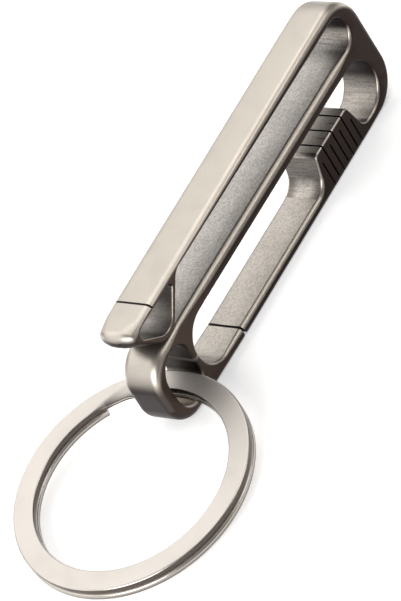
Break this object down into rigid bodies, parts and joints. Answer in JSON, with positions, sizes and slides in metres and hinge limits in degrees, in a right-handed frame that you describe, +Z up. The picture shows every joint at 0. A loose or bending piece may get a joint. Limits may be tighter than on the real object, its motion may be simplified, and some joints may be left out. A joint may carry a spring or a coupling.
{
  "type": "carabiner keychain",
  "caption": "Flat pocket clip and carabiner cut from one titanium plate, with a folded-spring gate, a sprung clip arm and tip, and a flat split ring through its eye.",
  "frame": {"origin": "under the middle of the whole length and width, ring included, at the level of the gate edge it stands on", "axes": "+X along the plate from the ring to the closed top end, +Y through the plate's thickness, +Z up from the gate edge to the clip arm"},
  "size_m": [0.0833, 0.0314, 0.0175],
  "materials": {
    "titanium": "blasted titanium, satin warm grey",
    "ring_steel": "stainless strip, flat sides satin, edges polished"
  },
  "bodies": {
    "frame": {"frame": "titanium"},
    "clip_arm": {"clip_arm": "titanium"},
    "clip_tip": {"clip_tip": "titanium"},
    "gate_leaf_1": {"gate_leaf_1": "titanium"},
    "gate_leaf_2": {"gate_leaf_2": "titanium"},
    "gate_leaf_3": {"gate_leaf_3": "titanium"},
    "gate_leaf_4": {"gate_leaf_4": "titanium"},
    "gate_leaf_5": {"gate_leaf_5": "titanium"},
    "gate_leaf_6": {"gate_leaf_6": "titanium"},
    "gate": {"gate": "titanium"},
    "split_ring": {"split_ring": "ring_steel"}
  },
  "joints": [
    {"name": "gate_flex_1", "type": "hinge", "parent": "frame", "child": "gate_leaf_1", "pos_m": [0.03132, 0.0014, 0.00506], "axis": [0, 1, 0], "range_deg": [0, 2], "stiffness_Nm_per_rad": 0.4},
    {"name": "gate_flex_2", "type": "hinge", "parent": "gate_leaf_1", "child": "gate_leaf_2", "pos_m": [0.03005, 0.0014, 0.0003], "axis": [0, 1, 0], "range_deg": [0, 2]},
    {"name": "gate_flex_3", "type": "hinge", "parent": "gate_leaf_2", "child": "gate_leaf_3", "pos_m": [0.02878, 0.0014, 0.00547], "axis": [0, 1, 0], "range_deg": [0, 2]},
    {"name": "gate_flex_4", "type": "hinge", "parent": "gate_leaf_3", "child": "gate_leaf_4", "pos_m": [0.02751, 0.0014, 0.0003], "axis": [0, 1, 0], "range_deg": [0, 2]},
    {"name": "gate_flex_5", "type": "hinge", "parent": "gate_leaf_4", "child": "gate_leaf_5", "pos_m": [0.02624, 0.0014, 0.00547], "axis": [0, 1, 0], "range_deg": [0, 2]},
    {"name": "gate_flex_6", "type": "hinge", "parent": "gate_leaf_5", "child": "gate_leaf_6", "pos_m": [0.02497, 0.0014, 0.0003], "axis": [0, 1, 0], "range_deg": [0, 2]},
    {"name": "gate_flex_7", "type": "hinge", "parent": "gate_leaf_6", "child": "gate", "pos_m": [0.0237, 0.0014, 0.00513], "axis": [0, 1, 0], "range_deg": [0, 2]},
    {"name": "clip_flex", "type": "hinge", "parent": "frame", "child": "clip_arm", "pos_m": [0.03434, 0.0014, 0.01671], "axis": [0, 1, 0], "range_deg": [0, 4.5], "stiffness_Nm_per_rad": 8},
    {"name": "clip_tip_flex", "type": "hinge", "parent": "clip_arm", "child": "clip_tip", "pos_m": [-0.00684, 0.0014, 0.01397], "axis": [0, 1, 0], "range_deg": [0, 5], "stiffness_Nm_per_rad": 2.5},
    {"name": "ring_swing", "type": "hinge", "parent": "frame", "child": "split_ring", "pos_m": [-0.01193, 0.0014, 0.00327], "axis": [0, 1, 0], "range_deg": [-160, 135]}
  ],
  "couplings": [
    {"joint": "gate_flex_2", "follows": "gate_flex_1", "ratio": 1},
    {"joint": "gate_flex_3", "follows": "gate_flex_1", "ratio": 1},
    {"joint": "gate_flex_4", "follows": "gate_flex_1", "ratio": 1},
    {"joint": "gate_flex_5", "follows": "gate_flex_1", "ratio": 1},
    {"joint": "gate_flex_6", "follows": "gate_flex_1", "ratio": 1},
    {"joint": "gate_flex_7", "follows": "gate_flex_1", "ratio": 1}
  ]
}
